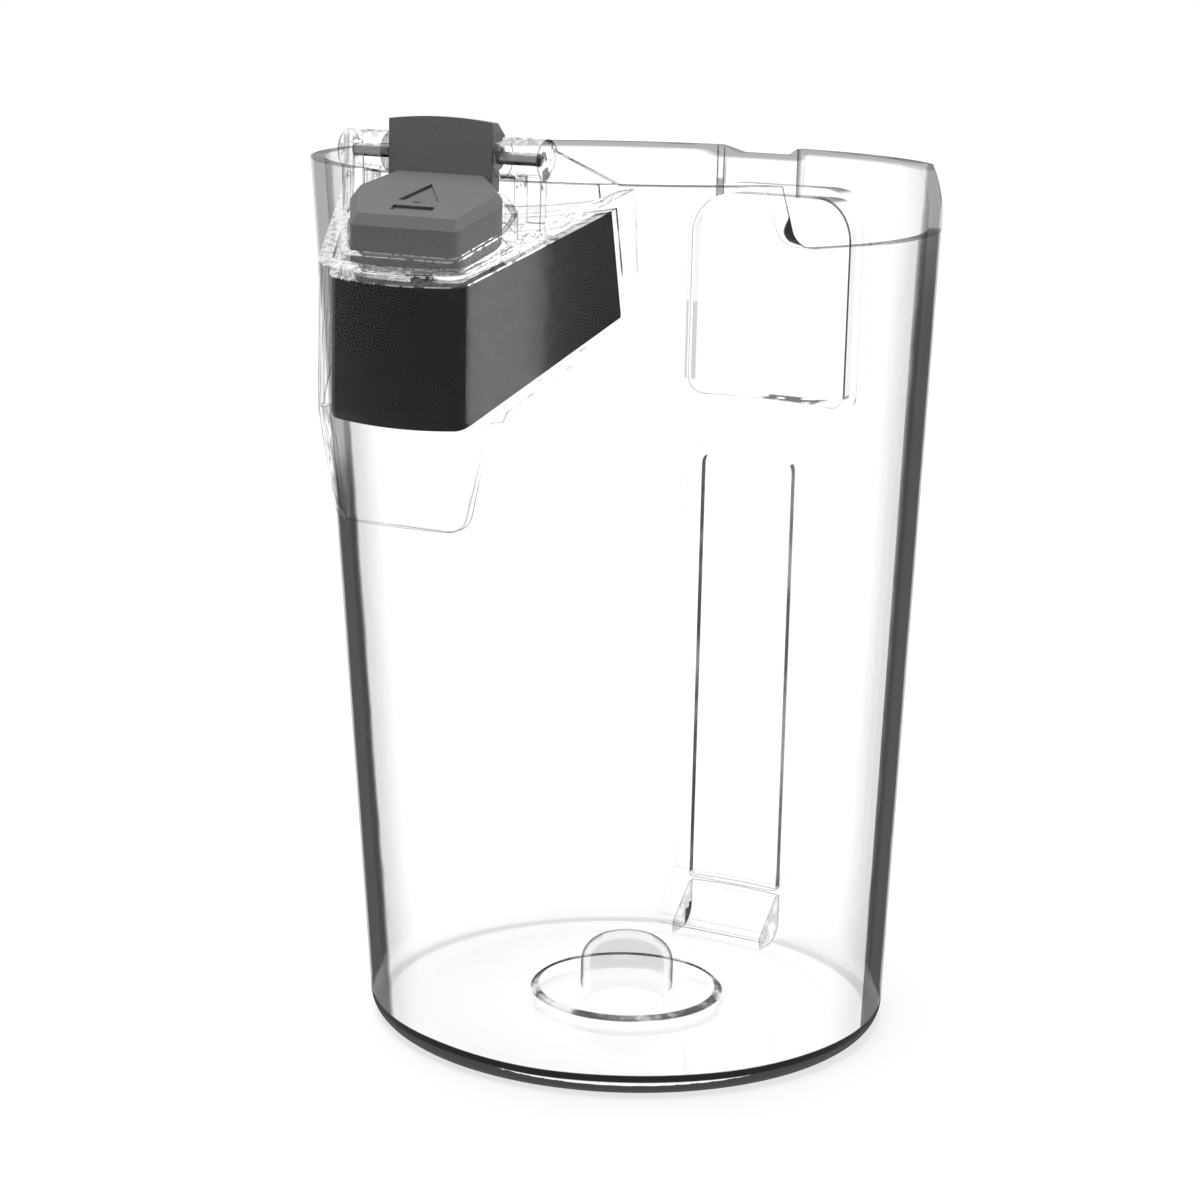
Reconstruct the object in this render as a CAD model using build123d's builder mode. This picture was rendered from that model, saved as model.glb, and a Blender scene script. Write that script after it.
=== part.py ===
# Clear dust bin of a bagless vacuum cleaner: a leaning cup with a latch handle on its front.
# +X is to the right, +Y to the back, +Z up; the origin is the middle of the base.
import os
from math import sqrt

from build123d import *

# Cup moulding
BASE_RADIUS = 60.6
RIM_RADIUS = 70.0
CUP_HEIGHT = 200.0
WALL = 3.0
FLOOR = 3.4
BASE_CORNER = 5.0
FLOOR_CORNER = 4.0
FOOT_INSET = 12.0
FOOT_HEIGHT = 0.8

# Lowered stretch of the rim on the right side
LOW_RIM_DROP = 12.8
LOW_RIM_FRONT_TOP = -50.4
LOW_RIM_FRONT = -46.3
LOW_RIM_BACK = 14.0
LOW_RIM_BACK_TOP = 34.0
LOW_RIM_RADIUS = 5.5

# Floor dome and the raised disc around it
DOME_RADIUS = 11.0
DOME_TOP = 15.8
DOME_ROUND = 6.0
DOME_WALL = 2.2
DISC_RADIUS = 22.3
DISC_RISE = 0.8

# Guide channel in the back wall, with the pocket at its foot
CHANNEL_WIDTH = 24.6
CHANNEL_TOP_GAP = 14.0
CHANNEL_FOOT = 13.0
CHANNEL_DEPTH = 3.2
CHANNEL_CORNER = 4.0
CHANNEL_LOW_CORNER = 1.0
POCKET_DEPTH = 12.0
POCKET_LOW = 3.0
POCKET_LIP = 11.5

# Air inlet in the back wall, off to one side; the channel ends below it
INLET_WIDTH = 43.6
INLET_HEIGHT = 49.5
INLET_DROP = 61.0
INLET_OFFSET = 5.9
INLET_TOP_CORNER = 10.0
INLET_LOW_CORNER = 4.0
INLET_COLLAR = 4.0
COLLAR_WALL = 2.4

# Notch in the back rim, between two ribs
NOTCH_LEFT = -10.0
NOTCH_RIGHT = 10.6
NOTCH_LEFT_RAMP = 5.5
NOTCH_RIGHT_RAMP = 2.2
NOTCH_DEPTH = 1.6
RIB_OFFSET = 1.5
RIB_SPREAD = 21.3
RIB_WIDTH = 1.8
RIB_REACH = 1.6
RIB_LENGTH = 15.0

# Handle shell on the front of the cup; heights are measured from the deck's front edge
NOSE_LENGTH = 27.6
NOSE_WIDTH = 34.0
NOSE_BULGE = 1.6
NOSE_CORNER = 5.5
ROOT_WIDTH = 68.0
ROOT_SETBACK = 37.0
SHELL_WALL = 2.2
DECK_DROP = 16.0
DECK_SLOPE = 0.42
DECK_THICKNESS = 3.0
BORDER_WIDTH = 2.8
BORDER_RISE = 1.2
LIP_DEPTH = 51.0
LIP_BEND = 29.0
LIP_SETBACK = 3.8
LIP_WIDTH = 30.0
LIP_CORNER = 4.0
SIDE_DEPTH_ROOT = 11.0
SIDE_DEPTH_NOSE = 27.0
SIDE_SETBACK = 9.5
SIDE_CURVE = 4.0
PAD_COLLAR_WALL = 1.2
PAD_COLLAR_DROP = 6.1

# Dark housing inside the handle shell
HOUSING_GAP = 0.4
HOUSING_WALL = 2.0
HOUSING_RISE = 0.6

# Hinge of the release latch, set back from the nose and above the rim
HINGE_SETBACK = 20.6
HINGE_RISE = 5.1
PIN_RADIUS = 1.25
PIN_SEAT_GAP = 0.02
PIN_RUN_GAP = 0.06
PIN_CHAMFER = 0.3
BOSS_RADIUS = 4.1
BOSS_LENGTH = 10.2
BOSS_GAP = 0.8
BOSS_END_WALL = 1.6
POST_WIDTH = 6.0
POST_DEPTH = 5.0
GUSSET_THICKNESS = 2.0
GUSSET_ROOT = 30.6
GUSSET_DROP = 0.6

# Release latch: thumb pad and upright tab
TAB_WIDTH = 24.0
TAB_RISE = 7.5
TAB_FOOT = 6.6
TAB_CROWN = 0.8
TAB_THICKNESS = 2.6
BARB_REACH = 4.7
BARB_DROP = 3.3
BARB_EDGE = 0.9
HUB_RADIUS = 2.35
PAD_SLOPE = 0.61
PAD_SETBACK = 4.55
PAD_RISE = 9.2
PAD_FRONT_WIDTH = 24.2
PAD_WIDTH = 34.0
PAD_SHOULDER_FRONT = 7.4
PAD_SHOULDER_BACK = 9.6
PAD_DEPTH = 9.6
PAD_WALL = 1.8
PAD_BEVEL = 1.5
PAD_ROUND = 2.0
PAD_GAP = 0.6
PAD_SWING_GAP = 2.2

# Sunk arrow and bar on the pad, measured from its front edge
ICON_DEPTH = 0.6
ICON_WIDTH = 9.5
ICON_BAR_PLACE = 3.3
ICON_BAR_HEIGHT = 1.6
ICON_ARROW_PLACE = 6.6
ICON_ARROW_HEIGHT = 5.8

# Return spring under the pad
SPRING_SETBACK = 11.7
SPRING_RADIUS = 2.9
SPRING_WIRE = 0.35
SPRING_TURNS = 5
SPRING_DROP = 4.0
SPRING_GAP = 0.2
STUD_RADIUS = 2.2
STUD_LENGTH = 2.5
POST_FLANGE = 0.8

LEAN = RIM_RADIUS - BASE_RADIUS
NOSE_Y = -LEAN - RIM_RADIUS - NOSE_LENGTH
ROOT_Y = NOSE_Y + ROOT_SETBACK
DECK_FRONT = CUP_HEIGHT - DECK_DROP
INLET_BOTTOM = CUP_HEIGHT - INLET_DROP
CHANNEL_TOP = INLET_BOTTOM - CHANNEL_TOP_GAP
HINGE_Y = NOSE_Y + HINGE_SETBACK
HINGE_Z = CUP_HEIGHT + HINGE_RISE
TAB_FRONT = HINGE_Y - HUB_RADIUS
HIGH = 2 * CUP_HEIGHT
WIDE = -2 * NOSE_Y


def wall_radius(z):
    """Outer radius of the cup at height z."""
    return BASE_RADIUS + LEAN * z / CUP_HEIGHT


def axis_y(z):
    """Middle of the cup at height z: it leans forward, so that the back wall is upright."""
    return -LEAN * z / CUP_HEIGHT


def wall_front(x, z):
    """Outer face of the cup's front wall at the place x and height z."""
    return axis_y(z) - sqrt(wall_radius(z) ** 2 - x**2)


def deck_height(y):
    """Top of the sloping deck at the place y."""
    return DECK_FRONT + DECK_SLOPE * (y - NOSE_Y)


def pad_height(y):
    """Top of the thumb pad, carried on over its edges, at the place y."""
    return DECK_FRONT + PAD_RISE + PAD_SLOPE * (y - NOSE_Y - PAD_SETBACK)


def side_bottom(y):
    """Lower edge of the handle's side walls at the place y."""
    slope = (SIDE_DEPTH_NOSE - SIDE_DEPTH_ROOT) / (ROOT_Y - NOSE_Y - SIDE_SETBACK)
    return DECK_FRONT - SIDE_DEPTH_ROOT + slope * (y - ROOT_Y)


def cone(inset, bottom, top):
    """The leaning cup's form, drawn in by inset, between two heights."""
    with BuildPart() as form:
        for z in (bottom, top):
            with BuildSketch(Plane.XY.offset(z)):
                with Locations((0, axis_y(z))):
                    Circle(wall_radius(z) - inset)
        loft()
    return form.part


def nose_outline(inset, z):
    """Plan outline of the handle at height z, drawn in by inset; the lip below tapers."""
    below = max(0, DECK_FRONT - LIP_BEND - z) / (LIP_DEPTH - LIP_BEND)
    nose = (NOSE_WIDTH - below * (NOSE_WIDTH - LIP_WIDTH)) / 2
    root = ROOT_WIDTH / 2
    front_y = NOSE_Y + below * LIP_SETBACK
    with BuildSketch() as plan:
        with BuildLine():
            front = ThreePointArc((-nose, front_y), (0, front_y - NOSE_BULGE), (nose, front_y))
            Polyline(front @ 1, (root, ROOT_Y), (root, 0), (-root, 0), (-root, ROOT_Y), front @ 0)
        make_face()
        fillet(plan.vertices().group_by(Axis.Y)[0], NOSE_CORNER)
        if inset:
            offset(amount=-inset, kind=Kind.INTERSECTION, mode=Mode.REPLACE)
    return plan.sketch


def nose_block(inset):
    """The handle's plan form from below the lip to above the rim, drawn in by inset."""
    with BuildPart() as form:
        for z in (lip_bottom - LIP_CORNER, DECK_FRONT - LIP_BEND, HIGH):
            with BuildSketch(Plane.XY.offset(z)):
                add(nose_outline(inset, z))
        loft(ruled=True)
    return form.part


def side_block(points, width):
    """Extrude a side view outline, given as (y, z) points, evenly to both sides."""
    with BuildPart() as block:
        with BuildSketch(Plane.YZ):
            with BuildLine():
                Polyline(*points, close=True)
            make_face()
        extrude(amount=width / 2, both=True)
    return block.part


def dome(radius, top, rounding):
    """Round-topped post on the base plane."""
    with BuildPart() as form:
        Cylinder(radius, top, align=(Align.CENTER, Align.CENTER, Align.MIN))
        fillet(form.edges().group_by(Axis.Z)[-1], rounding)
    return form.part


def back_panel(width, height, bottom, offset_x, low_corner, top_corner, depth, back):
    """Rounded block standing on the back wall, from the place back towards the front."""
    with BuildPart() as block:
        with BuildSketch(Plane.XZ.offset(-back)) as view:
            with Locations((offset_x, bottom + height / 2)):
                Rectangle(width, height)
            fillet(view.vertices().group_by(Axis.Y)[0], low_corner)
            fillet(view.vertices().group_by(Axis.Y)[-1], top_corner)
        extrude(amount=depth)
    return block.part


def cross_cylinder(radius, start, length):
    """Cylinder on the hinge axis, from the place start along +X."""
    with BuildPart() as form:
        with Locations((start + length / 2, HINGE_Y, HINGE_Z)):
            Cylinder(radius, length, rotation=(0, 90, 0))
    return form.part


def pad_outline(grow, swing):
    """Six-sided plan outline of the thumb pad; swing moves its back half on."""
    front = PAD_FRONT_WIDTH / 2
    side = PAD_WIDTH / 2
    back = TAB_WIDTH / 2
    front_y = NOSE_Y + PAD_SETBACK
    tab_y = TAB_FRONT + swing
    with BuildSketch() as plan:
        with BuildLine():
            Polyline(
                (-front, front_y),
                (front, front_y),
                (side, front_y + PAD_SHOULDER_FRONT),
                (side, front_y + PAD_SHOULDER_BACK + swing),
                (back, tab_y),
                (-back, tab_y),
                (-side, front_y + PAD_SHOULDER_BACK + swing),
                (-side, front_y + PAD_SHOULDER_FRONT),
                close=True,
            )
        make_face()
        fillet(plan.vertices().group_by(Axis.Y)[:-1], PAD_ROUND)
        if grow:
            offset(amount=grow, kind=Kind.INTERSECTION, mode=Mode.REPLACE)
    return plan.sketch


def pad_block(grow, swing, top_plane, bottom_plane):
    """Upright block on the pad's outline, between two sloping planes."""
    with BuildPart() as block:
        with BuildSketch():
            add(pad_outline(grow, swing))
        extrude(amount=HIGH)
        split(bisect_by=top_plane, keep=Keep.BOTTOM)
        split(bisect_by=bottom_plane, keep=Keep.TOP)
    return block.part


def pad_plane(drop):
    """Plane along the top of the thumb pad, lowered by drop."""
    place = (0, NOSE_Y + PAD_SETBACK, DECK_FRONT + PAD_RISE - drop)
    return Plane(origin=place, x_dir=(1, 0, 0), z_dir=(0, -PAD_SLOPE, 1))


deck_bottom = Plane(origin=(0, NOSE_Y, DECK_FRONT - DECK_THICKNESS), z_dir=(0, -DECK_SLOPE, 1))
lip_bottom = DECK_FRONT - LIP_DEPTH
back_y = BASE_RADIUS - WALL
low_rim_z = CUP_HEIGHT - LOW_RIM_DROP
boss_start = TAB_WIDTH / 2 + BOSS_GAP
boss_end = boss_start + BOSS_LENGTH
spring_y = NOSE_Y + SPRING_SETBACK
spring_seat = DECK_FRONT - SPRING_DROP
spring_reach = SPRING_RADIUS + SPRING_WIRE
spring_bottom = spring_seat + SPRING_GAP + SPRING_WIRE

# Space inside the cup, with the channel, pocket, disc and dome standing into it
with BuildPart() as cavity:
    add(cone(WALL, FLOOR, CUP_HEIGHT))
    fillet(cavity.faces().sort_by(Axis.Z)[0].edges(), FLOOR_CORNER)
    bump_width = CHANNEL_WIDTH + 2 * WALL
    add(
        back_panel(
            bump_width,
            CHANNEL_TOP + WALL,
            0,
            0,
            CHANNEL_CORNER,
            CHANNEL_CORNER + WALL,
            CHANNEL_DEPTH + WALL,
            BASE_RADIUS,
        ),
        mode=Mode.SUBTRACT,
    )
    add(
        side_block(
            [
                (BASE_RADIUS, 0),
                (BASE_RADIUS, CHANNEL_FOOT + WALL),
                (back_y - CHANNEL_DEPTH, CHANNEL_FOOT + WALL),
                (back_y - POCKET_DEPTH, POCKET_LOW + WALL),
                (back_y - POCKET_DEPTH, 0),
            ],
            bump_width,
        ),
        mode=Mode.SUBTRACT,
    )
    add(dome(DISC_RADIUS, FLOOR + DISC_RISE, DISC_RISE / 2), mode=Mode.SUBTRACT)
    add(dome(DOME_RADIUS, DOME_TOP, DOME_ROUND), mode=Mode.SUBTRACT)

# Finger space behind the nose, open at the bottom
with BuildPart() as hollow:
    deck_drop = DECK_THICKNESS * sqrt(1 + DECK_SLOPE**2)
    add(nose_block(SHELL_WALL))
    add(
        side_block(
            [
                (-WIDE, 0),
                (-WIDE, deck_height(-WIDE) - deck_drop),
                (0, deck_height(0) - deck_drop),
                (0, 0),
            ],
            WIDE,
        ),
        mode=Mode.INTERSECT,
    )

# Shallow well of the deck, inside its raised border
with BuildPart() as well:
    add(nose_block(BORDER_WIDTH))
    add(
        side_block(
            [
                (-WIDE, deck_height(-WIDE) - BORDER_RISE),
                (-WIDE, HIGH),
                (0, HIGH),
                (0, deck_height(0) - BORDER_RISE),
            ],
            WIDE,
        ),
        mode=Mode.INTERSECT,
    )

# Handle shell: nose, side walls, finger lip, sloping deck and the collar round the pad
with BuildPart() as shell:
    add(nose_block(0))
    side_y = NOSE_Y + SIDE_SETBACK
    add(
        side_block(
            [
                (-WIDE, lip_bottom),
                (-WIDE, deck_height(-WIDE)),
                (0, deck_height(0)),
                (0, side_bottom(0)),
                (side_y, side_bottom(side_y)),
                (side_y - SIDE_CURVE / 2, side_bottom(side_y) - SIDE_CURVE),
                (NOSE_Y + LIP_SETBACK + SHELL_WALL, lip_bottom),
            ],
            WIDE,
        ),
        mode=Mode.INTERSECT,
    )
    with BuildSketch(Plane.XZ) as front_view:
        with BuildLine():
            Polyline(
                (-LIP_WIDTH / 2, lip_bottom),
                (LIP_WIDTH / 2, lip_bottom),
                (LIP_WIDTH / 2 + LIP_CORNER, DECK_FRONT - LIP_BEND),
                (WIDE, DECK_FRONT - LIP_BEND),
                (WIDE, HIGH),
                (-WIDE, HIGH),
                (-WIDE, DECK_FRONT - LIP_BEND),
                (-LIP_WIDTH / 2 - LIP_CORNER, DECK_FRONT - LIP_BEND),
                close=True,
            )
        make_face()
        fillet(front_view.vertices().group_by(Axis.Y)[0], LIP_CORNER)
    extrude(amount=WIDE, both=True, mode=Mode.INTERSECT)
    add(hollow.part, mode=Mode.SUBTRACT)
    add(well.part, mode=Mode.SUBTRACT)
    collar = PAD_GAP + PAD_COLLAR_WALL
    add(pad_block(collar, PAD_SWING_GAP, pad_plane(PAD_COLLAR_DROP), deck_bottom))
    with BuildSketch():
        add(pad_outline(PAD_GAP, PAD_SWING_GAP))
    extrude(amount=HIGH, mode=Mode.SUBTRACT)
    split(bisect_by=Plane.XY.offset(CUP_HEIGHT), keep=Keep.BOTTOM)

# Pivot bosses beside the tab, each on a post and braced to the rim by a gusset
with BuildPart() as pivots:
    add(cross_cylinder(BOSS_RADIUS, boss_start, BOSS_LENGTH))
    post_foot = deck_height(HINGE_Y) - BORDER_RISE - DECK_THICKNESS / 2
    with Locations((boss_end - POST_WIDTH / 2, HINGE_Y, post_foot)):
        Box(
            POST_WIDTH,
            POST_DEPTH,
            HINGE_Z - post_foot,
            align=(Align.CENTER, Align.CENTER, Align.MIN),
        )
    brace_start = Vector(boss_end - GUSSET_THICKNESS, HINGE_Y, 0)
    brace_end = Vector(GUSSET_ROOT, wall_front(GUSSET_ROOT, CUP_HEIGHT) + WALL / 2, 0)
    brace = brace_end - brace_start
    with BuildSketch(Plane(origin=brace_start, x_dir=brace, z_dir=(brace.Y, -brace.X, 0))):
        with BuildLine():
            Polyline(
                (0, post_foot),
                (0, HINGE_Z + BOSS_RADIUS - GUSSET_DROP),
                (brace.length, CUP_HEIGHT),
                (brace.length, deck_height(brace_end.Y) - DECK_THICKNESS),
                close=True,
            )
        make_face()
    extrude(amount=GUSSET_THICKNESS / 2, both=True)
    mirror(about=Plane.YZ)

# Clear bin moulding
with BuildPart() as dust_cup:
    add(cone(0, 0, CUP_HEIGHT))
    fillet(dust_cup.faces().sort_by(Axis.Z)[0].edges(), BASE_CORNER)
    add(
        back_panel(
            INLET_WIDTH + 2 * COLLAR_WALL,
            INLET_HEIGHT + 2 * COLLAR_WALL,
            INLET_BOTTOM - COLLAR_WALL,
            INLET_OFFSET,
            INLET_LOW_CORNER + COLLAR_WALL,
            INLET_TOP_CORNER + COLLAR_WALL,
            RIM_RADIUS / 2,
            BASE_RADIUS + INLET_COLLAR,
        )
    )
    add(shell.part)
    add(cavity.part, mode=Mode.SUBTRACT)
    for side in (-1, 1):
        with Locations((RIB_OFFSET + side * RIB_SPREAD / 2, back_y, CUP_HEIGHT)):
            Box(
                RIB_WIDTH,
                2 * RIB_REACH,
                RIB_LENGTH,
                align=(Align.CENTER, Align.CENTER, Align.MAX),
            )
    add(pivots.part)
    # Rim: lowered stretch and notch
    with BuildSketch(Plane.YZ) as low_rim:
        with BuildLine():
            Polyline(
                (LOW_RIM_FRONT_TOP, CUP_HEIGHT),
                (LOW_RIM_FRONT, low_rim_z),
                (LOW_RIM_BACK, low_rim_z),
                (LOW_RIM_BACK_TOP, CUP_HEIGHT),
                close=True,
            )
        make_face()
        fillet(low_rim.vertices().group_by(Axis.Y)[0], LOW_RIM_RADIUS)
    extrude(amount=WIDE, mode=Mode.SUBTRACT)
    with BuildSketch(Plane.XZ):
        with BuildLine():
            Polyline(
                (NOTCH_LEFT, CUP_HEIGHT),
                (NOTCH_LEFT + NOTCH_LEFT_RAMP, CUP_HEIGHT - NOTCH_DEPTH),
                (NOTCH_RIGHT - NOTCH_RIGHT_RAMP, CUP_HEIGHT - NOTCH_DEPTH),
                (NOTCH_RIGHT, CUP_HEIGHT),
                close=True,
            )
        make_face()
    extrude(amount=-WIDE, mode=Mode.SUBTRACT)
    # Back wall: inlet, guide channel and foot pocket
    add(
        back_panel(
            INLET_WIDTH,
            INLET_HEIGHT,
            INLET_BOTTOM,
            INLET_OFFSET,
            INLET_LOW_CORNER,
            INLET_TOP_CORNER,
            RIM_RADIUS,
            BASE_RADIUS + 2 * INLET_COLLAR,
        ),
        mode=Mode.SUBTRACT,
    )
    add(
        back_panel(
            CHANNEL_WIDTH,
            CHANNEL_TOP - CHANNEL_FOOT,
            CHANNEL_FOOT,
            0,
            CHANNEL_LOW_CORNER,
            CHANNEL_CORNER,
            2 * CHANNEL_DEPTH,
            BASE_RADIUS + CHANNEL_DEPTH,
        ),
        mode=Mode.SUBTRACT,
    )
    add(
        side_block(
            [
                (BASE_RADIUS + POCKET_DEPTH, -POCKET_LOW),
                (BASE_RADIUS + POCKET_DEPTH, POCKET_LIP),
                (BASE_RADIUS - CHANNEL_DEPTH, POCKET_LIP),
                (BASE_RADIUS - POCKET_DEPTH, POCKET_LOW),
                (BASE_RADIUS - POCKET_DEPTH, -POCKET_LOW),
            ],
            CHANNEL_WIDTH,
        ),
        mode=Mode.SUBTRACT,
    )
    # Underside: standing rim and hollow dome
    with BuildSketch():
        Circle(BASE_RADIUS - FOOT_INSET)
        Circle(DISC_RADIUS, mode=Mode.SUBTRACT)
    extrude(amount=FOOT_HEIGHT, mode=Mode.SUBTRACT)
    add(
        dome(DOME_RADIUS - DOME_WALL, DOME_TOP - DOME_WALL, DOME_ROUND - DOME_WALL),
        mode=Mode.SUBTRACT,
    )
    # Hinge pin seats, closed at their outer ends
    for start in (boss_start - BOSS_GAP, -boss_end + BOSS_END_WALL):
        seat = cross_cylinder(
            PIN_RADIUS + PIN_SEAT_GAP,
            start,
            BOSS_LENGTH + BOSS_GAP - BOSS_END_WALL,
        )
        add(seat, mode=Mode.SUBTRACT)

# Dark housing that lines the handle and carries the spring
housing_inset = SHELL_WALL + HOUSING_GAP
housing_top = deck_drop + HOUSING_GAP
with BuildPart() as housing_inside:
    add(nose_block(housing_inset + HOUSING_WALL))
    add(
        side_block(
            [
                (-WIDE, side_bottom(-WIDE) + HOUSING_RISE + HOUSING_WALL),
                (-WIDE, HIGH),
                (0, HIGH),
                (0, side_bottom(0) + HOUSING_RISE + HOUSING_WALL),
            ],
            WIDE,
        ),
        mode=Mode.INTERSECT,
    )

with BuildPart() as latch_housing:
    add(nose_block(housing_inset))
    add(
        side_block(
            [
                (-WIDE, side_bottom(-WIDE) + HOUSING_RISE),
                (-WIDE, deck_height(-WIDE) - housing_top),
                (ROOT_Y, deck_height(ROOT_Y) - housing_top),
                (ROOT_Y, side_bottom(ROOT_Y) + HOUSING_RISE),
            ],
            WIDE,
        ),
        mode=Mode.INTERSECT,
    )
    add(housing_inside.part, mode=Mode.SUBTRACT)
    seat_floor = side_bottom(spring_y) + HOUSING_RISE
    with Locations((0, spring_y, seat_floor)):
        Cylinder(
            spring_reach + POST_FLANGE,
            spring_seat - seat_floor,
            align=(Align.CENTER, Align.CENTER, Align.MIN),
        )
    with Locations((0, spring_y, spring_seat)):
        Cylinder(STUD_RADIUS, STUD_LENGTH, align=(Align.CENTER, Align.CENTER, Align.MIN))
    add(cone(-HOUSING_GAP, 0, CUP_HEIGHT), mode=Mode.SUBTRACT)

# Release latch: hollow thumb pad, hinge hub and upright tab with its barb
pad_skin = PAD_WALL * sqrt(1 + PAD_SLOPE**2)
pad_under = pad_height(spring_y) - pad_skin
spring_top = pad_under - PAD_SLOPE * spring_reach - SPRING_GAP - SPRING_WIRE
tab_top = HINGE_Z + TAB_RISE
tab_foot = HINGE_Z - TAB_FOOT
tab_back = TAB_FRONT + TAB_THICKNESS
barb_foot = tab_top - BARB_DROP - BARB_EDGE
with BuildPart() as tab:
    with BuildSketch(Plane.XZ):
        with BuildLine():
            crown = ThreePointArc(
                (-TAB_WIDTH / 2, tab_top - TAB_CROWN),
                (0, tab_top),
                (TAB_WIDTH / 2, tab_top - TAB_CROWN),
            )
            Polyline(crown @ 1, (TAB_WIDTH / 2, tab_foot), (-TAB_WIDTH / 2, tab_foot), crown @ 0)
        make_face()
    extrude(amount=WIDE)
    add(
        side_block(
            [
                (TAB_FRONT, tab_foot),
                (TAB_FRONT, tab_top),
                (TAB_FRONT + BARB_EDGE, tab_top),
                (TAB_FRONT + BARB_REACH, tab_top - BARB_DROP),
                (TAB_FRONT + BARB_REACH, barb_foot),
                (tab_back, barb_foot),
                (tab_back, tab_foot),
            ],
            WIDE,
        ),
        mode=Mode.INTERSECT,
    )

with BuildPart() as release_latch:
    add(pad_block(0, 0, pad_plane(0), pad_plane(PAD_DEPTH)))
    pad_top = release_latch.faces().sort_by(Axis.Z)[-1]
    chamfer(pad_top.edges().sort_by(Axis.Y)[:-1], PAD_BEVEL)
    inside = pad_block(-PAD_WALL, 0, pad_plane(pad_skin), pad_plane(2 * PAD_DEPTH))
    add(inside, mode=Mode.SUBTRACT)
    add(tab.part)
    add(cross_cylinder(HUB_RADIUS, -TAB_WIDTH / 2, TAB_WIDTH))
    add(cross_cylinder(PIN_RADIUS + PIN_RUN_GAP, -TAB_WIDTH / 2, TAB_WIDTH), mode=Mode.SUBTRACT)
    with Locations((0, spring_y, spring_top - STUD_LENGTH)):
        Cylinder(
            STUD_RADIUS,
            pad_under + pad_skin / 2 - spring_top + STUD_LENGTH,
            align=(Align.CENTER, Align.CENTER, Align.MIN),
        )
    with BuildSketch(pad_plane(0)):
        with BuildLine():
            Polyline(
                (-ICON_WIDTH / 2, ICON_ARROW_PLACE),
                (ICON_WIDTH / 2, ICON_ARROW_PLACE),
                (0, ICON_ARROW_PLACE + ICON_ARROW_HEIGHT),
                close=True,
            )
        make_face()
        with Locations((0, ICON_BAR_PLACE + ICON_BAR_HEIGHT / 2)):
            Rectangle(ICON_WIDTH, ICON_BAR_HEIGHT)
    extrude(amount=-ICON_DEPTH, mode=Mode.SUBTRACT)

# Steel hinge pin, held in the bosses
with BuildPart() as hinge_pin:
    pin_end = boss_end - BOSS_END_WALL - PIN_SEAT_GAP
    add(cross_cylinder(PIN_RADIUS, -pin_end, 2 * pin_end))
    chamfer(hinge_pin.edges().filter_by(GeomType.CIRCLE), PIN_CHAMFER)

# Coiled return spring between the housing's post and the pad's stud
with BuildPart() as return_spring:
    spring_length = spring_top - spring_bottom
    with BuildLine():
        coil = Helix(
            spring_length / SPRING_TURNS,
            spring_length,
            SPRING_RADIUS,
            center=(0, spring_y, spring_bottom),
        )
    with BuildSketch(Plane(origin=coil @ 0, z_dir=coil % 0)):
        Circle(SPRING_WIRE)
    sweep()

os.makedirs("parts", exist_ok=True)
pieces = {
    "dust_cup": dust_cup,
    "latch_housing": latch_housing,
    "release_latch": release_latch,
    "hinge_pin": hinge_pin,
    "return_spring": return_spring,
}
for name, piece in pieces.items():
    piece.part.label = name
    export_step(piece.part, f"parts/{name}.step")
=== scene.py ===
from math import cos, radians, sin

import bpy
from mathutils import Matrix, Vector


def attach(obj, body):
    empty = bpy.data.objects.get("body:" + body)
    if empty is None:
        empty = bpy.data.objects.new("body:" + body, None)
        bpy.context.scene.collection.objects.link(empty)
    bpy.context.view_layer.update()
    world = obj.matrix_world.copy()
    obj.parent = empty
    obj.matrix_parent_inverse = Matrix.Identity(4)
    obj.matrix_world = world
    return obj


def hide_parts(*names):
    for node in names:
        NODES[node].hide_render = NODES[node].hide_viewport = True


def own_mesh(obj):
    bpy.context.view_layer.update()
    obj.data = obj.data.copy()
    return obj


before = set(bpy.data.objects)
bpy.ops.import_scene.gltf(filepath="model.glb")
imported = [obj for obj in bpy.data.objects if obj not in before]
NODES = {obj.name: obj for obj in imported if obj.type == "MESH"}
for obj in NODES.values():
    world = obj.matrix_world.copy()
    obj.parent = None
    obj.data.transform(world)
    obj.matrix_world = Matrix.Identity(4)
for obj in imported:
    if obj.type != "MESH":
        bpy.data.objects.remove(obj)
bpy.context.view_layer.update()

# Sizes of the cup that its painted shade follows, in metres. For each metre up, the axis leans
# forward by
# LEAN and the radius grows by LEAN
BASE_RADIUS = 0.0606
LEAN = 0.047
WALL = 0.003

# Limits of the cup's parts, in metres. A mask fades in or out between the two numbers
BACK_WALL_Y = (0.045, 0.046)
CHANNEL_Y = (0.044, 0.045)
RIB_Y = (0.050, 0.051)
SHELL_Y = (-0.058, -0.055)
HANDLE_Y = (-0.040, -0.030)
HANDLE_DEPTH = (-0.003, -0.001)
LOW_RIM_Z = (0.184, 0.186)
RIM_TOP_Z = (0.1983, 0.1990)
RIB_FOOT_Z = (0.183, 0.184)
LEFT_RIB_TOP_Z = (0.1918, 0.1924)
RIGHT_RIB_X = (0.0, 0.002)
NOTCH_LEFT_X = (-0.0155, -0.0100)
NOTCH_RIGHT_X = (0.0106, 0.0128)
DOME_RADIUS = (0.0118, 0.0122)
DOME_TOP_Z = (0.018, 0.019)
DOME_CROWN_Z = (0.0138, 0.0141)
DOME_SIDE_RADIUS = (0.0092, 0.0096)
FLOOR_TOP_Z = (0.003, 0.004)
BASE_EDGE_RADIUS = (0.0560, 0.0566)
FLOOR_EDGE_DEPTH = (0.0034, 0.0038)
UNDERSIDE_Z = (0.001, 0.0014)
RECESS_RADIUS = (0.052, 0.053)
FOOT_POCKET_Z = (0.013, 0.014)
FOOT_TOP_Z = (0.0185, 0.0190)
FOOT_SIDE_X = (0.0135, 0.0140)
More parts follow.
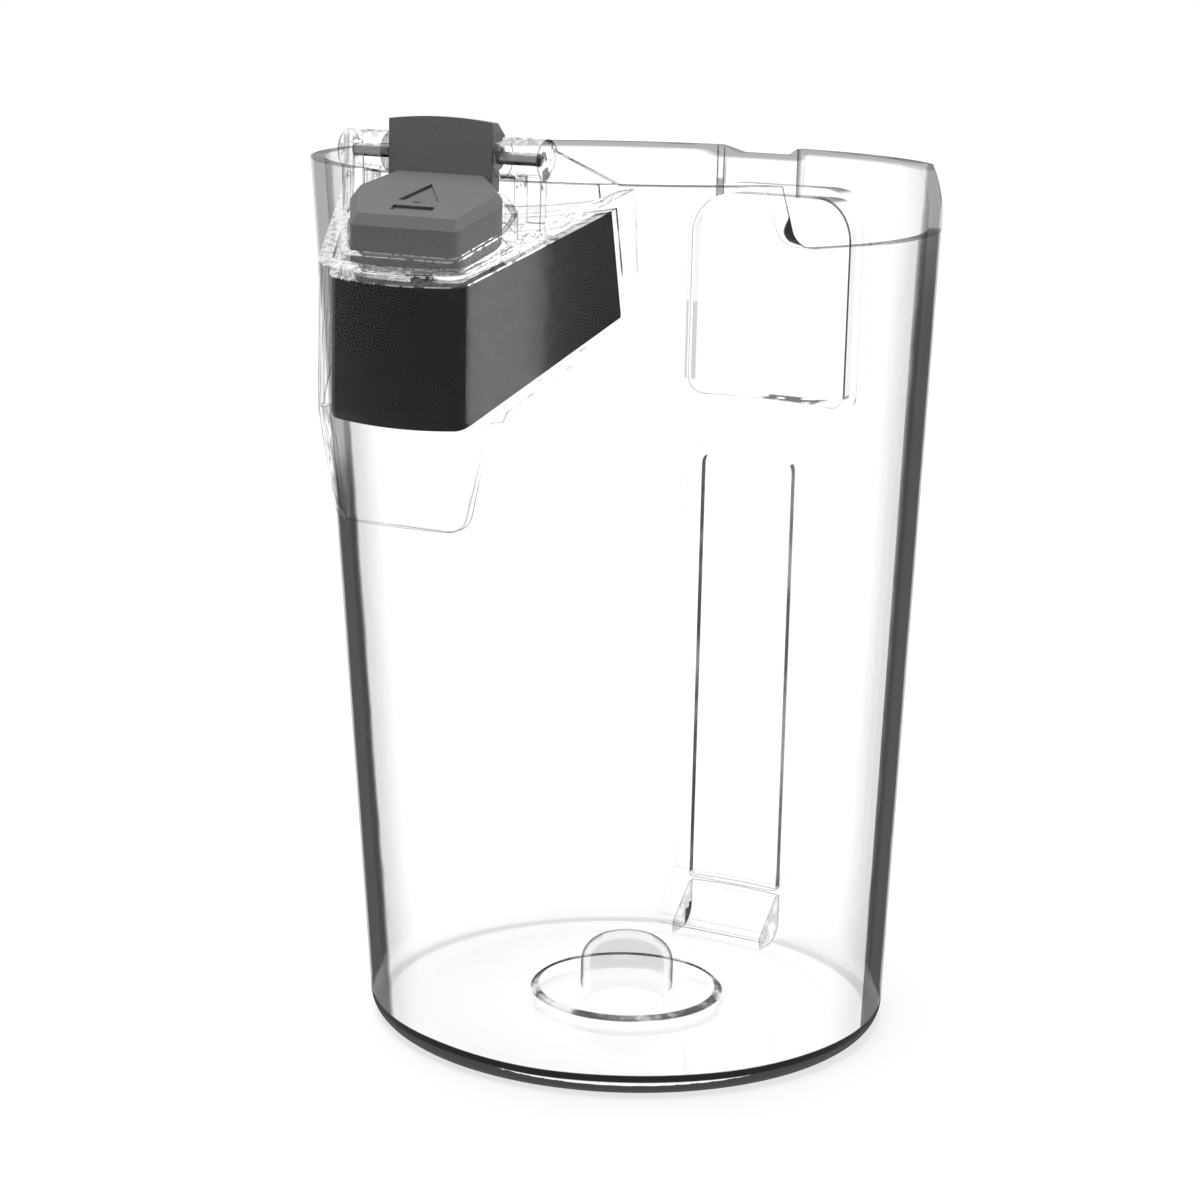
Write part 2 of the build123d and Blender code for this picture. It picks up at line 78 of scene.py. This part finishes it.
INLET_COLLAR_DEPTH = (0.0018, 0.0022)
OPENING_RIGHT_X = (0.021, 0.024)
OPENING_FOOT_Z = (0.1415, 0.1420)
SHELL_FOOT_Z = (0.181, 0.184)
SKIRT_X = (0.016, 0.018)
SKIRT_END_X = (0.028, 0.031)
GUSSET_X = (0.018, 0.020)
GUSSET_FOOT_Z = (0.190, 0.192)
DECK_Z = (0.176, 0.178)
HINGE_POST_Z = (0.1985, 0.1992)
HINGE_Z = (0.199, 0.200)

# Bands between two edges, in metres. Each mask says how soft its ends are
UPPER_RING_Z = (0.0049, 0.0064)
CHANNEL_SIDE_X = (0.0118, 0.0128)
CHANNEL_Z = (0.0145, 0.1246)
CHANNEL_FACE_Z = (0.018, 0.131)
BUMP_SIDE_X = (0.0148, 0.0158)
DISC_EDGE_RADIUS = (0.0212, 0.0228)
DISC_EDGE_Z = (0.003, 0.005)
INLET_Z = (0.132, 0.1965)
INLET_TOP_Z = (0.187, 0.1905)
OPENING_Z = (0.137, 0.192)
OPENING_FLOOR_Z = (0.1385, 0.1405)
GUSSET_Z = (0.192, 0.205)
DECK_EDGE_Z = (0.180, 0.197)

# Upper right corner of the inlet: the middle of its arc, and the band of radii painted dark as shade
INLET_ARC_X = 0.0177
INLET_ARC_Z = 0.1785
INLET_ARC_BAND = (0.0100, 0.0106)

# Tints of the clear plastic where it is open and where its painted shade is darkest
CLEAR = (0.997, 0.998, 0.998, 1)
PAINTED_SHADE_TINT = (0.008, 0.008, 0.009, 1)
WHITE = (1, 1, 1, 1)

# Studio: grey of the floor, what it adds to be seen white, the world's light, and the sun
FLOOR_GREY = 0.38
FLOOR_GLOW = 0.72
WORLD_LIGHT = 0.10
WORLD_SEEN = 1.0
FLOOR_SIZE = 6
SUN_POWER = 2.7
SUN_SOFTNESS = radians(40)
SUN_DIRECTION = (0.1, 0.1, -1)

# Camera, fitted to the photograph
CAMERA_AZIMUTH = radians(28.18)
CAMERA_PITCH = radians(12.78)
CAMERA_ROLL = radians(1.32)
CAMERA_DISTANCE = 0.65712
CAMERA_LENS = 84.87
SENSOR_WIDTH = 36
LOOK_RIGHT = -0.00844
LOOK_HEIGHT = 0.09825


def make_camera():
    """Camera at the photograph's place and angle."""
    a, p, r = CAMERA_AZIMUTH, CAMERA_PITCH, CAMERA_ROLL
    right = Vector((cos(a), sin(a), 0))
    back = Vector((sin(a) * cos(p), -cos(a) * cos(p), sin(p)))
    up = back.cross(right)
    place = right * LOOK_RIGHT + Vector((0, 0, LOOK_HEIGHT)) + back * CAMERA_DISTANCE
    side = right * cos(r) + up * sin(r)
    top = up * cos(r) - right * sin(r)
    data = bpy.data.cameras.new("camera")
    data.lens = CAMERA_LENS
    data.sensor_width = SENSOR_WIDTH
    camera = bpy.data.objects.new("camera", data)
    turn = Matrix((side, top, back)).transposed()
    camera.matrix_world = Matrix.Translation(place) @ turn.to_4x4()
    bpy.context.collection.objects.link(camera)
    bpy.context.scene.camera = camera


class Graph:
    """A node tree with short calls for the nodes that the materials use."""

    def __init__(self, tree):
        self.tree = tree
        tree.nodes.clear()

    def add(self, kind, settings=None, **inputs):
        """New node. An input is named with _ for a space, or by its number."""
        node = self.tree.nodes.new(kind)
        for key, value in (settings or {}).items():
            setattr(node, key, value)
        for key, value in inputs.items():
            self.put(node, key.replace("_", " "), value)
        return node

    def put(self, node, key, value):
        """Links an output to an input, or sets the input to a number or colour."""
        socket = node.inputs[int(key)] if key.isdigit() else node.inputs[key]
        if isinstance(value, bpy.types.NodeSocket):
            self.tree.links.new(value, socket)
        else:
            socket.default_value = value

    def math(self, how, a, b=0.0, c=0.0, clamp=False):
        node = self.add("ShaderNodeMath", {"operation": how, "use_clamp": clamp})
        for i, value in enumerate((a, b, c)):
            self.put(node, str(i), value)
        return node.outputs[0]

    def length(self, a, b):
        """Length of the flat vector (a, b)."""
        flat = self.add("ShaderNodeCombineXYZ", X=a, Y=b).outputs[0]
        node = self.add("ShaderNodeVectorMath", {"operation": "LENGTH"}, **{"0": flat})
        return node.outputs["Value"]

    def step(self, value, low, high, start=0.0, end=1.0):
        """Smooth change from start to end while value goes from low to high."""
        node = self.add("ShaderNodeMapRange", {"interpolation_type": "SMOOTHSTEP"})
        for key, number in (
            ("Value", value),
            ("From Min", low),
            ("From Max", high),
            ("To Min", start),
            ("To Max", end),
        ):
            self.put(node, key, number)
        return node.outputs["Result"]

    def below(self, value, low, high):
        """1 while value is under low, and 0 from high on."""
        return self.step(value, low, high, 1.0, 0.0)

    def band(self, value, low, high, soft):
        """1 while value lies between low and high, with soft ends."""
        rise = self.step(value, low - soft, low)
        return self.every(rise, self.below(value, high, high + soft))

    def every(self, first, *others):
        """Product of masks."""
        for other in others:
            first = self.math("MULTIPLY", first, other)
        return first

    def most(self, first, *others):
        """Greatest of masks."""
        for other in others:
            first = self.math("MAXIMUM", first, other)
        return first

    def invert(self, mask):
        return self.math("SUBTRACT", 1.0, mask)

    def mix(self, factor, a, b):
        node = self.add("ShaderNodeMix")
        for index, value in ((0, factor), (2, a), (3, b)):
            self.put(node, str(index), value)
        return node.outputs[0]

    def noise(self, scale, detail=2.0, rough=0.5, vector=None):
        node = self.add("ShaderNodeTexNoise", Scale=scale, Detail=detail, Roughness=rough)
        self.put(node, "Vector", vector or self.place())
        return node.outputs["Fac"]

    def place(self):
        return self.add("ShaderNodeTexCoord").outputs["Object"]

    def mix_color(self, factor, a, b):
        node = self.add("ShaderNodeMix", {"data_type": "RGBA"})
        for index, value in ((0, factor), (6, a), (7, b)):
            self.put(node, str(index), value)
        return node.outputs[2]

    def bump(self, height, strength, distance):
        node = self.add("ShaderNodeBump", Height=height, Strength=strength, Distance=distance)
        return node.outputs["Normal"]

    def mix_shader(self, factor, a, b):
        node = self.add("ShaderNodeMixShader")
        for index, value in ((0, factor), (1, a), (2, b)):
            self.put(node, str(index), value)
        return node.outputs[0]

    def surface(self, shader):
        """Ends the tree in the material's surface."""
        self.add("ShaderNodeOutputMaterial", Surface=shader)


class CupGraph(Graph):
    """The clear plastic's node tree, with the places and directions that its painted shade goes by.
    """

    def __init__(self, tree):
        super().__init__(tree)
        self.x, self.y, self.z = self.add("ShaderNodeSeparateXYZ", Vector=self.place()).outputs
        geometry = self.add("ShaderNodeNewGeometry").outputs
        self.normal = geometry["Normal"]
        n_x, _, self.n_z = self.add("ShaderNodeSeparateXYZ", Vector=self.normal).outputs
        self.front = self.invert(geometry["Backfacing"])
        self.side = self.math("ABSOLUTE", n_x)
        self.steep = self.math("ABSOLUTE", self.n_z)
        self.sideways = self.step(self.side, 0.5, 0.9)
        self.level = self.step(self.n_z, 0.9, 0.97)
        self.facing = self.add("ShaderNodeLayerWeight", Blend=0.5).outputs["Facing"]

        # Distances from the middle plane, from the upright axis and from the leaning one
        self.away = self.math("ABSOLUTE", self.x)
        self.middle = self.length(self.x, self.y)
        self.radius = self.length(self.x, self.math("MULTIPLY_ADD", self.z, LEAN, self.y))

        # Depth under the cup's outside, less than 0 where the handle stands out of it
        outside = self.math("MULTIPLY_ADD", self.z, LEAN, BASE_RADIUS)
        self.depth = self.math("SUBTRACT", outside, self.radius)
        self.outer = self.band(self.depth, -WALL * 0.2, WALL * 0.5, WALL * 0.1)

        # Parts of the moulding
        self.back = self.step(self.y, *BACK_WALL_Y)
        self.shell = self.below(self.y, *SHELL_Y)
        proud = self.below(self.depth, *HANDLE_DEPTH)
        self.handle = self.every(proud, self.below(self.y, *HANDLE_Y))
        self.dome = self.every(self.below(self.middle, *DOME_RADIUS), self.below(self.z, *DOME_TOP_Z))
        self.above_low_rim = self.step(self.z, *LOW_RIM_Z)

        # 1 where the bevelled normal leaves the face's own, so along the corners
        bevel = self.add("ShaderNodeBevel", {"samples": 6}, Radius=0.0006).outputs[0]
        vectors = {"0": bevel, "1": self.normal}
        same = self.add("ShaderNodeVectorMath", {"operation": "DOT_PRODUCT"}, **vectors)
        self.corner = self.below(same.outputs["Value"], 0.86, 0.99)

        # Streaks that run up the handle, for its painted shade and painted highlights
        stretched = self.add("ShaderNodeMapping", Vector=self.place(), Scale=(6, 6, 0.6))
        self.streak = self.noise(150.0, 2.0, 0.5, stretched.outputs[0])


def material(name, kind=Graph):
    made = bpy.data.materials.new(name)
    made.use_nodes = True
    return made, kind(made.node_tree)


def edge_on_walls(g):
    """Walls seen edge on: a painted dark band of shade inside the outline, where light is bent away,
    fading inwards and beside the handle.
    """
    wave = g.math("SUBTRACT", g.noise(28.0, 2.0), 0.5)
    seen = g.math("MULTIPLY_ADD", wave, 0.03, g.facing)
    by_handle = g.every(g.below(g.x, -0.045, -0.035), g.step(g.z, 0.118, 0.138))
    paler_up = g.step(g.z, 0.165, 0.195, 0.82, 0.66)
    strength = g.math("MINIMUM", paler_up, g.step(by_handle, 0.0, 1.0, 1.0, 0.4))
    upright = g.below(g.steep, 0.3, 0.5)
    dark_outer = g.every(g.step(seen, 0.62, 0.68), g.step(seen, 0.86, 0.92, 1.0, 0.35), strength)
    soft_outer = g.step(seen, 0.42, 0.66, end=0.2)
    dark_inner = g.every(g.step(seen, 0.78, 1.0, end=0.3), g.step(g.z, 0.009, 0.011))
    shown = g.mix(g.every(g.outer, upright), dark_inner, g.most(dark_outer, soft_outer))

    # Not at the dome, the right end of the shell and the level faces of the back wall
    shell_end = g.every(g.shell, g.step(g.x, 0.028, 0.029), g.below(g.z, 0.182, 0.184))
    level_back = g.every(g.back, g.step(g.steep, 0.6, 0.9))
    return g.every(shown, g.invert(g.most(g.dome, shell_end, level_back)))


def bottom_rings(g):
    """Two rings of painted shade round the bottom corner, with a clear one between them."""
    swell = g.math("MULTIPLY_ADD", g.noise(16.0, 1.0), 0.0016, g.z)
    upper_ring = g.every(g.outer, g.band(swell, *UPPER_RING_Z, 0.0003), 0.99)
    closing = g.math("SUBTRACT", swell, g.step(g.facing, 0.24, 0.34, end=0.0020))
    at_base = g.every(g.step(g.radius, *BASE_EDGE_RADIUS), g.below(g.depth, *FLOOR_EDGE_DEPTH))
    lower_ring = g.every(at_base, g.step(closing, 0.0030, 0.0036, 0.95, 0.0))
    return g.every(g.front, g.most(upper_ring, lower_ring))


def channel_marks(g):
    """Painted shade on the side walls of the guide channel, and faintly on those of the pocket at its
    foot.
    """
    in_channel = g.step(g.y, *CHANNEL_Y)
    wall = g.every(g.band(g.away, *CHANNEL_SIDE_X, 0.0002), g.sideways, in_channel)
    cloud = g.step(g.noise(60.0, 2.0), 0.3, 0.6, 0.75, 0.97)
    channel = g.every(wall, g.band(g.z, *CHANNEL_Z, 0.001), cloud)
    specks = g.step(g.noise(260.0, 2.0), 0.4, 0.6, end=0.35)
    pocket = g.every(wall, g.below(g.z, *FOOT_POCKET_Z), specks)
    return g.most(channel, pocket)


def rib_marks(g):
    """Painted shade on the two ribs inside the back rim: the left one's face ends under the rim's
    top.
    """
    inside = g.step(g.depth, WALL * 1.1, WALL * 1.2)
    on_rib = g.every(inside, g.step(g.z, *RIB_FOOT_Z), g.step(g.y, *RIB_Y))
    left_face = g.step(g.z, *LEFT_RIB_TOP_Z, 0.6, 0.0)
    face = g.mix(g.step(g.x, *RIGHT_RIB_X), left_face, 0.7)
    return g.every(on_rib, g.most(face, g.every(g.sideways, 0.85)))


def floor_marks(g):
    """Painted shade along the outline of the dome, and on the blotted edge of the disc round it."""
    skin = g.every(g.dome, g.most(g.step(g.z, *DOME_CROWN_Z), g.step(g.middle, *DOME_SIDE_RADIUS)))
    off_top = g.below(g.steep, 0.965, 0.985)
    outline = g.step(g.facing, 0.60, 0.82, end=0.6)
    dome = g.every(skin, off_top, outline, g.step(g.z, *FLOOR_TOP_Z))
    blot = g.step(g.noise(110.0, 3.0), 0.40, 0.6, 0.1, 0.9)
    edge = g.band(g.middle, *DISC_EDGE_RADIUS, 0.0003)
    disc = g.every(edge, g.band(g.z, *DISC_EDGE_Z, 0.0005), blot)
    return g.most(dome, disc)


def hidden_lines(g):
    """How much of a corner line the photograph leaves out, for each place where it does."""
    beside_channel = g.every(g.back, g.band(g.z, *CHANNEL_FACE_Z, 0.001))
    outside = g.below(g.depth, *INLET_COLLAR_DEPTH)
    inlet_outside = g.every(g.back, g.band(g.z, *INLET_Z, 0.0005), outside)
    inlet_top = g.every(g.back, g.band(g.z, *INLET_TOP_Z, 0.0005))
    bump_side = g.band(g.away, *BUMP_SIDE_X, 0.0003)
    bump_edge = g.every(g.step(g.y, *CHANNEL_Y), bump_side, g.below(g.z, *DOME_TOP_Z))
    underside = g.every(g.below(g.z, *UNDERSIDE_Z), g.below(g.radius, *RECESS_RADIUS))
    return g.most(
        g.every(beside_channel, 0.85),
        g.every(inlet_outside, 0.85),
        g.every(inlet_top, 0.97),
        g.every(bump_edge, 0.8),
        g.dome,
        underside,
    )


def corner_lines(g):
    """Lines of painted shade along the corners of the moulding, fainter in places."""
    broken = g.step(g.noise(38.0, 3.0), 0.36, 0.56, 0.2, 0.9)
    right = g.step(g.x, *OPENING_RIGHT_X)
    opening_side = g.every(g.back, g.band(g.z, *OPENING_Z, 0.001), right, 0.85)
    at_hinge = g.every(g.shell, g.step(g.z, *HINGE_POST_Z), 0.8)
    at_gusset = g.every(g.shell, g.step(g.x, *GUSSET_X), g.step(g.z, *GUSSET_FOOT_Z), 0.9)
    foot = g.every(g.below(g.z, *FOOT_TOP_Z), g.below(g.away, *FOOT_SIDE_X))
    at_foot = g.every(g.back, foot, 0.8)
    plain_line = g.most(broken, opening_side, at_hinge, at_gusset, at_foot)

    # Painted dashes of shade on the shell's right side, fading towards its end
    dashes = g.step(g.noise(240.0, 3.0), 0.5, 0.62, 0.05, 0.8)
    side_skirt = g.every(g.shell, g.below(g.z, *SHELL_FOOT_Z), g.step(g.x, *SKIRT_X))
    skirt_line = g.every(dashes, g.step(g.x, *SKIRT_END_X, 1.0, 0.05))
    return g.every(g.corner, g.invert(hidden_lines(g)), g.mix(side_skirt, plain_line, skirt_line))


def rim_marks(g):
    """Painted grey shade on the rim's top face, and softly on the wall just under it at the back."""
    cloud = g.step(g.noise(40.0, 2.0), 0.35, 0.65, 0.5, 0.8)
    off_handle = g.below(g.handle, 0.0, 1.0)
    top = g.every(g.level, g.above_low_rim, off_handle, cloud)
    in_notch = g.every(g.step(g.x, *NOTCH_LEFT_X), g.below(g.x, *NOTCH_RIGHT_X), 0.0016)
    raised = g.math("ADD", g.z, in_notch)
    under = g.every(g.step(raised, *RIM_TOP_Z), g.step(g.y, -0.005, 0.015, end=0.35))
    return g.most(top, under)


def low_rim_glint(g):
    """Black glint in the front corner of the rim's lowered stretch, pointed at both ends."""
    pointed = g.every(g.step(g.z, 0.1873, 0.1888), g.step(g.z, 0.1900, 0.1950, 0.0019, 0.0))
    return g.every(
        g.band(g.steep, 0.28, 0.99, 0.02),
        g.below(g.side, 0.05, 0.1),
        g.step(g.x, 0.045, 0.046),
        g.step(g.y, -0.052, -0.051),
        g.step(g.y, -0.040, -0.038, 0.99, 0.0),
        g.below(g.math("SUBTRACT", g.depth, pointed), -0.0002, 0.0001),
        g.above_low_rim,
    )


def gusset_marks(g):
    """Painted shade on the slanted faces of the two gussets, darker on the right."""
    beside_posts = g.every(g.shell, g.step(g.away, 0.016, 0.018), g.band(g.z, *GUSSET_Z, 0.001))
    brace = g.every(beside_posts, g.step(g.steep, 0.5, 0.6))
    slanted = g.every(g.handle, g.band(g.side, 0.2, 0.75, 0.05))
    return g.every(brace, slanted, g.step(g.x, 0.0270, 0.0290, 0.6, 0.97))


def inlet_marks(g):
    """Painted shade: a line down the inlet's right side, a slip of grey at its left, and painted dark
    glints on its floor.
    """
    right_of = g.math("MAXIMUM", g.math("SUBTRACT", g.x, INLET_ARC_X), 0.0)
    over = g.math("MAXIMUM", g.math("SUBTRACT", g.z, INLET_ARC_Z), 0.0)
    around = g.every(
        g.every(g.back, g.band(g.depth, 0.0022, 0.0036, 0.0002)),
        g.band(g.length(right_of, over), *INLET_ARC_BAND, 0.0001),
        g.step(g.x, 0.015, 0.019),
        g.step(g.z, *OPENING_FOOT_Z),
        g.step(over, 0.0, 0.003, 0.85, 0.65),
    )
    on_floor = g.every(g.back, g.band(g.z, *OPENING_FLOOR_Z, 0.0003), g.level)
    glinting = g.every(on_floor, g.band(g.x, 0.0035, 0.0170, 0.002))
    wedge = g.every(glinting, g.step(g.noise(230.0, 2.0), 0.41, 0.47, end=0.85))
    slip = g.every(
        g.below(g.x, -0.0150, -0.0145),
        g.band(g.y, 0.0570, 0.0593, 0.0002),
        g.band(g.z, 0.1425, 0.1610, 0.001),
        g.sideways,
        0.4,
    )
    return g.most(around, wedge, slip)


def handle_marks(g):
    """Painted shade: streaks on the handle's left wall, and patches in the thick corners at the
    hinge.
    """
    left = g.every(g.handle, g.below(g.x, -0.006, -0.004), g.step(g.side, 0.5, 0.8))
    streaks = g.every(left, g.step(g.streak, 0.42, 0.6, 0.05, 0.55))
    hinge = g.every(g.handle, g.step(g.z, *HINGE_Z), g.step(g.facing, 0.3, 0.6))
    patches = g.every(hinge, g.step(g.noise(420.0, 2.0), 0.5, 0.56, end=0.95))
    return g.most(streaks, patches)


def cup_gloss(g):
    """How much of the light the surface mirrors, raised on the handle's deck and along its edges to
    paint highlights there.
    """
    flat = g.every(g.step(g.n_z, 0.6, 0.85), g.step(g.z, *DECK_Z))
    deck = g.every(g.handle, flat, g.step(g.streak, 0.35, 0.6, 0.35, 0.75))
    edge = g.every(g.handle, g.corner, g.band(g.z, *DECK_EDGE_Z, 0.002))
    lit_edge = g.every(edge, g.step(g.streak, 0.42, 0.5, 0.1, 0.85))
    return g.most(deck, lit_edge)


def clear_plastic():
    """Clear moulded plastic: open to the eye face on, with painted shade where light is led away
    inside it, and painted highlights on the handle.
    """
    made, g = material("clear_plastic", CupGraph)
    shade = g.most(
        edge_on_walls(g),
        bottom_rings(g),
        channel_marks(g),
        rib_marks(g),
        floor_marks(g),
        corner_lines(g),
        rim_marks(g),
        low_rim_glint(g),
        gusset_marks(g),
        inlet_marks(g),
        handle_marks(g),
    )
    through = g.add("ShaderNodeBsdfTransparent", Color=g.mix_color(shade, CLEAR, PAINTED_SHADE_TINT)).outputs[0]
    ripple = g.bump(g.noise(60.0, 1.0), 0.012, 0.0004)
    gloss = g.add("ShaderNodeBsdfGlossy", Color=WHITE, Roughness=0.05, Normal=ripple).outputs[0]
    fresnel = g.add("ShaderNodeFresnel", IOR=1.3, Normal=ripple).outputs[0]
    sheen = g.math("MINIMUM", g.math("MULTIPLY", fresnel, 0.25), 0.05)
    g.surface(g.mix_shader(g.most(sheen, cup_gloss(g)), through, gloss))
    return made


def black_plastic():
    """Smooth black moulded plastic with a faint orange peel."""
    made, g = material("black_plastic")
    cloud = g.noise(60.0, 3.0)
    shader = g.add(
        "ShaderNodeBsdfPrincipled",
        Base_Color=g.mix_color(cloud, (0.006, 0.006, 0.0065, 1), (0.010, 0.010, 0.0105, 1)),
        Roughness=g.step(g.noise(120.0, 2.0), 0.3, 0.7, 0.12, 0.13),
        IOR=1.46,
        Specular_IOR_Level=0.10,
        Normal=g.bump(g.noise(400.0, 1.0), 0.001, 0.0001),
    )
    g.surface(shader.outputs[0])
    return made


def grey_plastic():
    """Grey moulded plastic with a fine spark-eroded grain."""
    made, g = material("grey_plastic")
    grain = g.noise(3400.0, 2.0, 0.7)
    cloud = g.noise(140.0, 3.0)
    base = g.mix_color(cloud, (0.150, 0.150, 0.153, 1), (0.170, 0.170, 0.173, 1))
    shader = g.add(
        "ShaderNodeBsdfPrincipled",
        Base_Color=g.mix_color(g.step(grain, 0.38, 0.68), base, (0.205, 0.205, 0.208, 1)),
        Roughness=g.step(grain, 0.3, 0.7, 0.5, 0.68),
        IOR=1.45,
        Specular_IOR_Level=0.35,
        Normal=g.bump(grain, 0.25, 0.0001),
    )
    g.surface(shader.outputs[0])
    return made


def steel(name, colour, stretch):
    """Drawn steel, with fine lines along the rod or wire."""
    made, g = material(name)
    lines = g.add("ShaderNodeMapping", Vector=g.place(), Scale=stretch).outputs[0]
    streak = g.noise(400.0, 3.0, 0.6, lines)
    low = tuple(0.7 * c for c in colour) + (1,)
    shader = g.add(
        "ShaderNodeBsdfPrincipled",
        Base_Color=g.mix_color(streak, low, (*colour, 1)),
        Metallic=1.0,
        Roughness=g.step(streak, 0.3, 0.7, 0.22, 0.38),
        Normal=g.bump(streak, 0.1, 0.00005),
    )
    g.surface(shader.outputs[0])
    return made


def background_seen(g):
    """1 for the rays that show the background: from the camera, in gloss and through glass."""
    path = g.add("ShaderNodeLightPath").outputs
    seen = g.math("ADD", path["Is Camera Ray"], path["Is Glossy Ray"], clamp=True)
    return g.math("ADD", seen, path["Is Transmission Ray"], clamp=True)


def make_floor():
    """Pale floor that shows white and keeps the object's shadow."""
    bpy.ops.mesh.primitive_plane_add(size=FLOOR_SIZE)
    floor = bpy.context.object
    floor.name = "floor"
    made, g = material("white_floor")
    grey = (FLOOR_GREY, FLOOR_GREY, FLOOR_GREY, 1)
    diffuse = g.add("ShaderNodeBsdfDiffuse", Color=grey).outputs[0]
    glow = g.math("MULTIPLY", background_seen(g), FLOOR_GLOW)
    light = g.add("ShaderNodeEmission", Color=WHITE, Strength=glow).outputs[0]
    g.surface(g.add("ShaderNodeAddShader", **{"0": diffuse, "1": light}).outputs[0])
    floor.data.materials.append(made)


def make_world():
    """Dim even light on the object, and white where the background is seen."""
    world = bpy.data.worlds.new("studio")
    world.use_nodes = True
    g = Graph(world.node_tree)
    strength = g.step(background_seen(g), 0.0, 1.0, WORLD_LIGHT, WORLD_SEEN)
    light = g.add("ShaderNodeBackground", Color=WHITE, Strength=strength)
    g.add("ShaderNodeOutputWorld", Surface=light.outputs[0])
    bpy.context.scene.world = world


def skylight():
    """Broad soft light from above, even over the whole floor."""
    data = bpy.data.lights.new("skylight", "SUN")
    data.energy = SUN_POWER
    data.angle = SUN_SOFTNESS
    lamp = bpy.data.objects.new("skylight", data)
    lamp.rotation_euler = Vector(SUN_DIRECTION).to_track_quat("-Z", "Y").to_euler()
    bpy.context.collection.objects.link(lamp)


def softbox(name, place, target, width, height, power):
    """Rectangular area lamp, aimed at the target."""
    data = bpy.data.lights.new(name, "AREA")
    data.shape = "RECTANGLE"
    data.size = width
    data.size_y = height
    data.energy = power
    lamp = bpy.data.objects.new(name, data)
    lamp.location = place
    aim = Vector(target) - Vector(place)
    lamp.rotation_euler = aim.to_track_quat("-Z", "Y").to_euler()
    bpy.context.collection.objects.link(lamp)


def squashing_spring():
    """Stands for the CAD spring, with its own copy of the same mesh, fixed to the bin; the CAD spring
    is hidden.
    """
    coil = bpy.data.objects.new("coil_spring", NODES["return_spring"].data.copy())
    bpy.context.collection.objects.link(coil)
    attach(coil, "bin")
    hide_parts("return_spring")
    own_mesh(coil)


make_camera()
make_world()
make_floor()
skylight()
softbox("left", (-1.0, -0.7, 0.5), (0, -0.03, 0.12), width=0.5, height=0.5, power=1.0)
softbox("low_right", (0.9, -0.133, 0.15), (0, -0.133, 0.15), width=0.434, height=0.3, power=3.2)

FINISHES = {
    "dust_cup": clear_plastic(),
    "latch_housing": black_plastic(),
    "release_latch": grey_plastic(),
    "hinge_pin": steel("pin_steel", (0.25, 0.25, 0.26), (1, 30, 30)),
    "return_spring": steel("spring_steel", (0.4, 0.4, 0.41), (1, 1, 1)),
}
for name, finish in FINISHES.items():
    for slot in NODES[name].material_slots:
        slot.material = finish
squashing_spring()

bpy.context.scene.view_settings.view_transform = "Standard"
